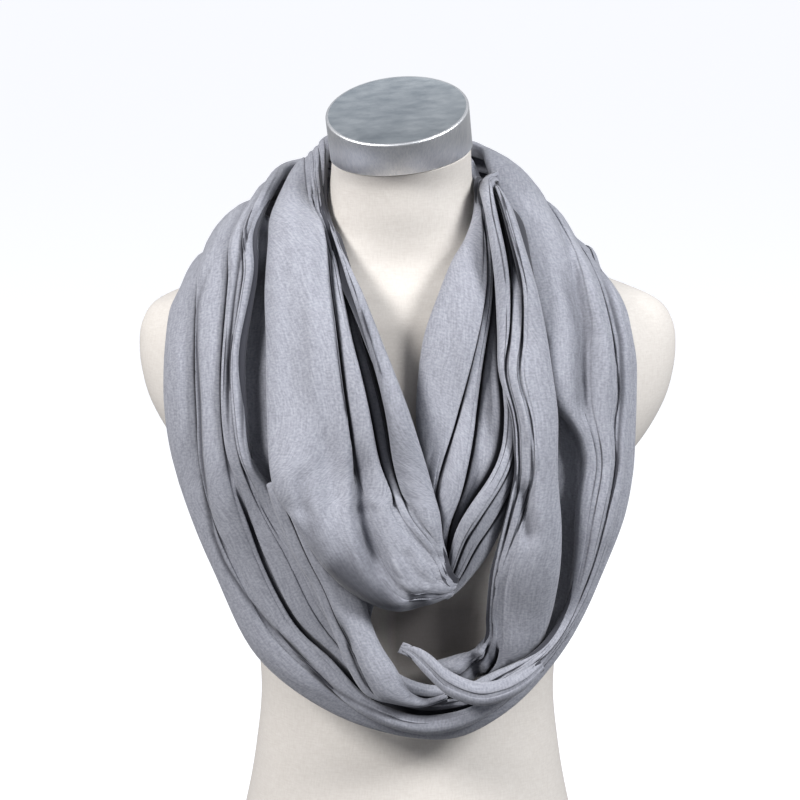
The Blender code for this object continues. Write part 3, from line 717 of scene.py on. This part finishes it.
def drawn(rows):
    """Rows of the front drawing, with both sides placed in x, y and z."""
    return tuple((*place(*row[0:3]), *place(*row[3:6]), *row[6:]) for row in rows)


def turned():
    """The cosine and sine at each side of the form."""
    turn = np.linspace(0, 2 * math.pi, FORM_SIDES, endpoint=False)
    return np.cos(turn), np.sin(turn)


def squared(value, square):
    """A round section's share, made squarer as square rises above 2."""
    return np.sign(value) * np.abs(value) ** (2 / square)


def form_ring(row):
    """One level section of the torso, as points round it."""
    z, x, half_width, front, back, square = row
    cos, sin = turned()
    depth = np.where(sin < 0, -front, back)
    level = np.full(FORM_SIDES, z)
    return np.stack((x + half_width * squared(cos, square), depth * squared(sin, square), level), axis=1)


def cap_axis(nod):
    """Straight up from a face of the neck cap that nods forward by this angle."""
    upright = math.cos(nod)
    return np.array((-upright * math.sin(CAP_ROLL), -math.sin(nod), upright * math.cos(CAP_ROLL)))


def cap_ring(radius, below_top, nod):
    """A ring round the neck cap's axis, nodding forward by its own angle and rolled as the cap is."""
    cos, sin = turned()
    side = np.array((math.cos(CAP_ROLL), 0, math.sin(CAP_ROLL)))
    back = np.cross(cap_axis(nod), side)
    centre = np.array(CAP_TOP) - below_top * cap_axis(CAP_NOD)
    return centre + radius * (np.outer(cos, side) + np.outer(sin, back))


def loft_piece(name, rings, material):
    """A closed body through rings, with flat ends."""
    count = len(rings)
    corner = np.arange(count * FORM_SIDES).reshape(count, FORM_SIDES)
    after = np.roll(corner, -1, axis=1)
    faces = np.stack((corner[:-1], after[:-1], after[1:], corner[1:]), axis=-1).reshape(-1, 4).tolist()
    faces.append(corner[0][::-1].tolist())
    faces.append(corner[-1].tolist())
    return new_piece(name, np.concatenate(rings), faces, material)


def make_form(material):
    """The covered torso and neck, smooth between its level sections."""
    rings = [form_ring(row) for row in FORM_ROWS]
    rings.append(cap_ring(NECK_RADIUS, CAP_HEIGHT + CAP_GAP, CAP_FOOT_NOD))
    rings = through(rings, FORM_RINGS)
    form = loft_piece("linen_form", list(rings), material)
    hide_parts("dress_form")
    return form, rings


def make_cap(side_metal, painted_shade_top_metal):
    """The neck cap: its wall, a bright rounded chamfer and its brushed top, painted darker as painted shade.
    """
    rings = [
        cap_ring(CAP_RADIUS - CAP_EASE, CAP_HEIGHT, CAP_FOOT_NOD),
        cap_ring(CAP_RADIUS, CAP_HEIGHT - CAP_EASE, CAP_FOOT_NOD),
        cap_ring(CAP_RADIUS, CAP_CHAMFER * 1.4, CAP_NOD),
    ]
    for turn in np.linspace(0, math.pi / 2, CHAMFER_RINGS):
        inset = CAP_CHAMFER * (1 - math.cos(turn))
        rings.append(cap_ring(CAP_RADIUS - inset, CAP_CHAMFER * (1 - math.sin(turn)), CAP_NOD))
    for inset, below_top in ((0.5, 0.0), (0.8, CAP_DISH)):
        rings.append(cap_ring(CAP_RADIUS - CAP_CHAMFER - inset, below_top, CAP_NOD))
    cap = loft_piece("steel_cap", rings, side_metal)
    cap.data.materials.append(painted_shade_top_metal)
    rim = (len(rings) - 2) * FORM_SIDES
    faces = cap.data.polygons
    for index in (*range(rim, rim + FORM_SIDES), len(faces) - 1):
        faces[index].material_index = 1
    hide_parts("neck_cap")
    return cap


def new_piece(name, points, faces, material, flat=None):
    """A piece on the root body from points in millimetres, with its flat places as a UV map in metres."""
    mesh = bpy.data.meshes.new(name)
    mesh.from_pydata(((np.asarray(points) + (0, MIDDLE_Y, 0)) * MM).tolist(), [], faces)
    mesh.materials.append(material)
    mesh.shade_smooth()
    if flat is not None:
        places = flat.reshape(-1, 2)[np.asarray(faces).reshape(-1)] * MM
        mesh.uv_layers.new(name="flat_cloth").data.foreach_set("uv", places.ravel())
    piece = bpy.data.objects.new(name, mesh)
    bpy.context.scene.collection.objects.link(piece)
    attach(piece, "root")
    return piece


def make_stretch(name, rows, fold_count, stations, below, creases, grooves_and_shade, seed, material, flaps):
    """A stretch of the scarf as thin cloth, lifted clear of each (tree, clear, from_y, pull) below it."""
    grid, places, outward = sheet_grid(rows, fold_count, stations, flaps)
    for _ in range(2):
        grid, places = refined_across(grid), refined_across(places)
    grid, places, outward = refined(grid), refined(places), unit(refined(outward))
    waves, flat = uneven(grid, seed)
    # The drawn gaps: a shallow cut in the cloth here, and painted shade in its colour later
    groove_and_shade = crease_field(seen(grid), grooves_and_shade)
    groove_and_shade = np.where(normals_of(grid)[..., 1] < FACES_FORWARD, np.clip(groove_and_shade, 0, 1), 0)
    waves = waves + crease_field(seen(grid), creases) - GROOVE_DEPTH * groove_and_shade
    grid = grid + waves[..., None] * outward[:, None, :]
    for tree, clear, from_y, pull in below:
        grid = rest_on(grid, places, outward, tree, clear, from_y, pull)
    count, columns = grid.shape[:2]
    piece = new_piece(name, grid.reshape(-1, 3), grid_faces(count, columns).tolist(), material, flat)
    wall = piece.modifiers.new("wall", "SOLIDIFY")
    wall.thickness = WALL * MM
    wall.offset = 0
    wall.use_even_offset = False
    bpy.context.view_layer.update()
    length = np.linalg.norm(np.diff(grid[:, columns // 2], axis=0), axis=1).sum()
    width = np.linalg.norm(np.diff(grid, axis=1), axis=-1).sum(axis=1).mean()
    print("flat size", name, round(width), round(length))
    return piece, grid, groove_and_shade, (width * MM, length * MM)


class Socket:
    """A node's output, with Python's operators on values."""

    def __init__(self, tree, output):
        self.tree = tree
        self.output = output

    def maths(self, operation, first, second):
        return add_node(self.tree, "Math", {"operation": operation}, _0=first, _1=second)

    def __add__(self, other):
        return self.maths("ADD", self, other)

    __radd__ = __add__

    def __mul__(self, other):
        return self.maths("MULTIPLY", self, other)

    __rmul__ = __mul__

    def __sub__(self, other):
        return self.maths("SUBTRACT", self, other)

    def __rsub__(self, other):
        return self.maths("SUBTRACT", other, self)


def add_node(tree, kind, settings=None, out=0, **values):
    """A node of this kind, with its settings made first and its sockets given values or links.

    A socket goes by its name, with _ for a space, or by _ and its number. The result is the output out.
    """
    whole = kind.startswith(("NodeGroup", "FunctionNode"))
    made = tree.nodes.new(kind if whole else tree.bl_idname.removesuffix("Tree") + kind)
    for key, value in (settings or {}).items():
        if key == "stops":
            ramp = made.color_ramp
            while len(ramp.elements) < len(value):
                ramp.elements.new(1.0)
            for element, (position, colour) in zip(ramp.elements, value):
                element.position = position
                element.color = colour
        else:
            setattr(made, key, value)
    for key, value in values.items():
        name = key.replace("_", " ")
        socket = made.inputs[name] if name in made.inputs else made.inputs[int(key[1:])]
        if isinstance(value, Socket):
            tree.links.new(value.output, socket)
        else:
            socket.default_value = value
    return Socket(tree, made.outputs[out])


def new_material(name, roughness, sheen=0.0, metallic=0.0):
    """A material, its node tree and its main shader."""
    material = bpy.data.materials.new(name)
    material.use_nodes = True
    shader = material.node_tree.nodes["Principled BSDF"]
    shader.inputs["Roughness"].default_value = roughness
    shader.inputs["Metallic"].default_value = metallic
    shader.inputs["Sheen Weight"].default_value = sheen
    shader.inputs["Sheen Roughness"].default_value = 0.5
    return material, material.node_tree, shader


def feed(shader, **values):
    """Links values to a shader's sockets by name, with _ for a space."""
    for key, value in values.items():
        value.tree.links.new(value.output, shader.inputs[key.replace("_", " ")])


def mixed(tree, factor, first, second, blend="MIX"):
    """A colour between two others, or the first changed by the second."""
    settings = {"data_type": "RGBA", "blend_type": blend}
    return add_node(tree, "Mix", settings, 2, _0=factor, _6=first, _7=second)


def threads(tree, places, scale, detail, roughness=0.5):
    """Noise that is drawn out along one direction or more, from 0 to 1."""
    drawn_out = add_node(tree, "Mapping", Vector=places, Scale=scale)
    return add_node(tree, "TexNoise", Vector=drawn_out, Scale=1.0, Detail=detail, Roughness=roughness)


def between(tree, value, low, high):
    """A mask that rises from black at low to white at high."""
    stops = ((low, (0, 0, 0, 1)), (high, (1, 1, 1, 1)))
    return add_node(tree, "ValToRGB", {"stops": stops}, Fac=value)


def darkened(tree, colour, deep):
    """The colour with painted shade, turning to deep where the piece's stored painted shade is 1."""
    depth = add_node(tree, "Attribute", {"attribute_name": "fold_depth"}, 2)
    return mixed(tree, depth, colour, deep)


def cloth_material():
    """Matte plain weave with fine slubs, on the cloth's flat places in metres, with painted shade between
    folds.
    """
    material, tree, shader = new_material("grey_cloth", 0.86, sheen=0.18)
    places = add_node(tree, "TexCoord", out=2)
    slubs = threads(tree, places, (620.0, 90.0, 1.0), 3.0, 0.6)
    cross = threads(tree, places, (420.0, 640.0, 1.0), 2.0)
    fade = threads(tree, places, (9.0, 5.0, 1.0), 2.0)
    grain = slubs * 0.5 + cross * 0.5
    colour = mixed(tree, between(tree, grain, 0.38, 0.62), CLOTH_DARK, CLOTH_LIGHT)
    shade = mixed(tree, fade, CLOTH_FADE, WHITE)
    colour = mixed(tree, 1.0, colour, shade, "MULTIPLY")
    bump = add_node(tree, "Bump", Strength=0.35, Distance=0.0005, Height=grain)
    # Painted shade: the weave's colour turns near-black where the cloth lies deep between folds or in a drawn
    # gap
    feed(shader, Base_Color=darkened(tree, colour, CLOTH_PAINTED_SHADE), Normal=bump)
    return material


def thread_material():
    """Sewing thread with a fine twist."""
    material, tree, shader = new_material("seam_thread", 0.6, sheen=0.1)
    places = add_node(tree, "TexCoord", out=3)
    twist = add_node(tree, "TexNoise", Vector=places, Scale=900.0, Detail=1.0)
    bump = add_node(tree, "Bump", Strength=0.3, Distance=0.0002, Height=twist)
    feed(shader, Base_Color=mixed(tree, twist, THREAD_DARK, THREAD_LIGHT), Normal=bump)
    return material


def linen_material():
    """Ivory linen stretched smooth, on the form's own coordinates, with painted shadow under the scarf."""
    material, tree, shader = new_material("form_linen", 0.82, sheen=0.1)
    places = add_node(tree, "TexCoord", out=3)
    upright = threads(tree, places, (900.0, 900.0, 160.0), 2.0)
    level = threads(tree, places, (160.0, 160.0, 900.0), 2.0)
    grain = upright * 0.5 + level * 0.5
    colour = mixed(tree, between(tree, grain, 0.35, 0.65), LINEN_DARK, LINEN_LIGHT)
    bump = add_node(tree, "Bump", Strength=0.25, Distance=0.0004, Height=grain)
    # Painted shadow: the linen turns dark brown where the scarf closes in on it and under the panel
    feed(shader, Base_Color=darkened(tree, colour, LINEN_PAINTED_SHADOW), Normal=bump)
    return material


def metal_material(name, dark, light, streak, roughness):
    """Brushed steel whose streaks run along one direction of the object."""
    material, tree, shader = new_material(name, roughness, metallic=1.0)
    places = add_node(tree, "TexCoord", out=3)
    streaks = threads(tree, places, streak, 4.0, 0.65)
    cloudy = add_node(tree, "TexNoise", Vector=places, Scale=26.0, Detail=4.0, Roughness=0.6)
    tone = streaks * 0.6 + cloudy * 0.4
    bump = add_node(tree, "Bump", Strength=0.15, Distance=0.0003, Height=streaks)
    feed(
        shader,
        Base_Color=mixed(tree, between(tree, tone, 0.36, 0.64), dark, light),
        Roughness=roughness + 0.3 * (tone - 0.5),
        Normal=bump,
    )
    return material


def new_light(name, place_at, power, colour):
    """A soft square light that faces the scarf."""
    light = bpy.data.lights.new(name, "AREA")
    light.shape = "SQUARE"
    light.size = LIGHT_SIZE
    light.energy = power
    light.color = colour
    lamp = bpy.data.objects.new(name, light)
    lamp.location = place_at
    lamp.rotation_euler = (Vector(LIGHT_AIM) - Vector(place_at)).to_track_quat("-Z", "Y").to_euler()
    bpy.context.scene.collection.objects.link(lamp)


def make_studio():
    """The camera at the picture's angle, a pale floor, a pale sky and two soft lights."""
    scene = bpy.context.scene
    camera = bpy.data.objects.new("camera", bpy.data.cameras.new("camera"))
    scene.collection.objects.link(camera)
    scene.camera = camera
    camera.data.sensor_width = SENSOR_WIDTH
    camera.data.lens = SENSOR_WIDTH * EYE_DISTANCE / (PICTURE_DOTS * DOT)
    camera.location = Vector(EYE + (0, MIDDLE_Y, 0)) * MM
    camera.rotation_euler = Vector(AHEAD).to_track_quat("-Z", "Y").to_euler()

    floor_paint, _, shader = new_material("pale_floor", 0.9)
    shader.inputs["Base Color"].default_value = FLOOR_COLOUR
    shader.inputs["Emission Color"].default_value = FLOOR_GLOW
    shader.inputs["Emission Strength"].default_value = FLOOR_STRENGTH
    mesh = bpy.data.meshes.new("floor")
    corners = [(x * FLOOR_REACH, y * FLOOR_REACH, 0) for x, y in ((-1, -1), (1, -1), (1, 1), (-1, 1))]
    mesh.from_pydata(corners, [], [(0, 1, 2, 3)])
    mesh.materials.append(floor_paint)
    floor = bpy.data.objects.new("floor", mesh)
    scene.collection.objects.link(floor)
    floor.visible_diffuse = False
    floor.visible_glossy = False

    world = bpy.data.worlds.new("studio")
    scene.world = world
    world.use_nodes = True
    background = world.node_tree.nodes["Background"]
    around = add_node(world.node_tree, "TexCoord", out=0)
    height = add_node(world.node_tree, "SeparateXYZ", out=2, Vector=around)
    sky = add_node(world.node_tree, "ValToRGB", {"stops": SKY_STOPS}, Fac=height * 0.5 + 0.5)
    feed(background, Color=sky)
    background.inputs["Strength"].default_value = SKY_STRENGTH
    new_light("left", (-1.85, -1.45, 2.0), 84, (1.0, 0.99, 0.98))
    new_light("right", (1.85, -1.35, 2.0), 82, (0.98, 0.99, 1.0))
    scene.view_settings.view_transform = "Standard"


def stitch_tree(material):
    """A node tree that sets small thread stitches along a path of edges, and its inputs' identifiers."""
    tree = bpy.data.node_groups.new("thread_stitches", "GeometryNodeTree")
    tree.interface.new_socket("Path", in_out="INPUT", socket_type="NodeSocketGeometry")
    inputs = {
        name: tree.interface.new_socket(name, in_out="INPUT", socket_type="NodeSocketFloat").identifier
        for name in ("Spacing", "Length", "Thickness")
    }
    tree.interface.new_socket("Stitches", in_out="OUTPUT", socket_type="NodeSocketGeometry")
    given = add_node(tree, "NodeGroupInput").output.node
    edges, spacing, length, thickness = (Socket(tree, given.outputs[k]) for k in range(4))
    path = add_node(tree, "MeshToCurve", Mesh=edges)
    spaced = add_node(tree, "ResampleCurve", {"mode": "LENGTH"}, Curve=path, Length=spacing)
    thread = add_node(tree, "MeshCylinder", Vertices=STITCH_SIDES, Radius=thickness, Depth=length)
    tangent = add_node(tree, "InputTangent")
    turn = add_node(tree, "FunctionNodeAlignRotationToVector", {"axis": "Z"}, Vector=tangent)
    placed = add_node(tree, "InstanceOnPoints", Points=spaced, Instance=thread, Rotation=turn)
    real = add_node(tree, "RealizeInstances", Geometry=placed)
    painted = add_node(tree, "SetMaterial", Geometry=real, Material=material)
    made = tree.nodes.new("NodeGroupOutput")
    tree.links.new(painted.output, made.inputs["Stitches"])
    return tree, inputs


def make_seam(first_end, last_end):
    """Stitches down both sides of the plain seam behind the neck, where the scarf's two ends are joined."""
    points = []
    edges = []
    for end, across in ((first_end, -SEAM_IN), (last_end, SEAM_IN)):
        row = end[SEAM_FROM:-SEAM_FROM:SEAM_STEP] + (across, SEAM_OUT, 0)
        edges.extend((len(points) + k, len(points) + k + 1) for k in range(len(row) - 1))
        points.extend(row)
    mesh = bpy.data.meshes.new("seam_path")
    mesh.from_pydata(((np.array(points) + (0, MIDDLE_Y, 0)) * MM).tolist(), edges, [])
    path = bpy.data.objects.new("seam_path", mesh)
    bpy.context.scene.collection.objects.link(path)
    tree, inputs = stitch_tree(thread_material())
    modifier = path.modifiers.new("stitches", "NODES")
    modifier.node_group = tree
    modifier[inputs["Spacing"]] = STITCH_SPACING * MM
    modifier[inputs["Length"]] = STITCH_LENGTH * MM
    modifier[inputs["Thickness"]] = STITCH_RADIUS * MM
    graph = bpy.context.evaluated_depsgraph_get()
    graph.update()
    stitched = bpy.data.meshes.new_from_object(path.evaluated_get(graph))
    stitched.name = "seam_stitches"
    bpy.data.objects.remove(path)
    seam = bpy.data.objects.new("seam_stitches", stitched)
    bpy.context.scene.collection.objects.link(seam)
    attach(seam, "root")


make_studio()
cloth = cloth_material()
linen = linen_material()
side_metal = metal_material("brushed_cap", CAP_SIDE_DARK, WHITE, (800.0, 800.0, 9.0), 0.42)
# Painted shade: the top's steel is darker than the side's, standing in for the dimmer reflection the top
# shows
painted_shade_top_metal = metal_material("cap_top_painted_shade", CAP_TOP_PAINTED_SHADE_DARK, CAP_TOP_PAINTED_SHADE_LIGHT, (60.0, 160.0, 60.0), 0.46)
form, form_rings = make_form(linen)
cap = make_cap(side_metal, painted_shade_top_metal)
on_form = tree_of(form, cap)
grids = []


def stretch(
    name,
    nodes,
    rows,
    fold_count,
    stations,
    seed,
    clear=NECK_CLEAR,
    layers=(),
    gap=LAYER_GAP,
    from_y=FRONT_FROM,
    pull=LAYER_PULL,
    flaps=(None, None),
    creases=(),
    grooves_and_shade=(),
):
    """Makes one sheet, clear of the form and of the layers below it, and hides the parts of model.glb that it
    stands for.
    """
    below = [(on_form, clear, math.inf, 0.0)]
    below.extend((tree_of(layer), gap, from_y, pull) for layer in layers)
    piece, grid, groove_and_shade, flat = make_stretch(
        name, rows, fold_count, stations, below, creases, grooves_and_shade, seed, cloth, flaps
    )
    grids.append((piece, grid, groove_and_shade))
    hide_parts(*nodes)
    return piece


inner_right = stretch(
    "inner_right_cloth",
    ["inner_turn_right"],
    drawn(INNER_RIGHT) + INNER_RIGHT_BACK,
    fold_count=5,
    stations=50,
    seed=3,
)
outer = stretch(
    "outer_cloth",
    ["outer_turn_left", "outer_turn_right"],
    OUTER_LEFT_BACK + drawn(OUTER_LEFT + OUTER_RIGHT) + OUTER_RIGHT_BACK,
    fold_count=3,
    stations=100,
    seed=11,
    clear=SHOULDER_CLEAR,
    flaps=(None, RIGHT_FLAP),
    creases=OUTER_CREASES,
    grooves_and_shade=OUTER_GROOVES_AND_SHADE,
)
band = stretch(
    "inner_band_cloth",
    ["inner_band"],
    drawn(INNER_BAND),
    fold_count=1,
    stations=40,
    seed=31,
    layers=[outer],
    grooves_and_shade=BAND_GROOVES_AND_SHADE,
)
strap = stretch(
    "strap_cloth",
    ["strap"],
    drawn(STRAP) + STRAP_BACK,
    fold_count=2,
    stations=60,
    seed=43,
    layers=[inner_right],
    from_y=STRAP_FROM,
    creases=STRAP_CREASES,
    grooves_and_shade=STRAP_GROOVES_AND_SHADE,
)
stretch(
    "inner_left_cloth",
    ["inner_turn_left"],
    INNER_LEFT_BACK + drawn(INNER_LEFT),
    fold_count=3,
    stations=66,
    seed=53,
    layers=[inner_right, outer, band],
    pull=PANEL_PULL,
    creases=PANEL_CREASES,
    grooves_and_shade=PANEL_GROOVES_AND_SHADE,
)
stretch(
    "lower_lip_cloth",
    ["lower_lip"],
    laid(LOWER_LIP, tree_of(form, outer, band, strap), LIP_GAP + LIP_EXTRA),
    fold_count=1,
    stations=36,
    seed=61,
    layers=[outer, band, strap],
    gap=LIP_GAP,
    pull=LIP_PULL,
)

all_cloth = [piece for piece, _, _ in grids]
# Painted shade: how deep each cloth point lies between folds, and the drawn gaps, darken the cloth's colour
everything = tree_of(form, *all_cloth)
for piece, grid, groove_and_shade in grids:
    mark_painted_shade(piece, grid, everything, CLOTH_STEPS, CLOTH_COVER, groove_and_shade)
# Painted shadow: the linen darkens where the scarf closes in on it and in the listed shadowed places
in_front = form_rings[..., 1] < 0
form_painted_shadow = np.where(in_front, np.clip(crease_field(seen(form_rings), FORM_PAINTED_SHADOWS), 0, 1), 0)
mark_painted_shade(form, form_rings, tree_of(*all_cloth), FORM_STEPS, FORM_COVER, form_painted_shadow)
outer_grid = grids[1][1]
make_seam(outer_grid[0], outer_grid[-1])
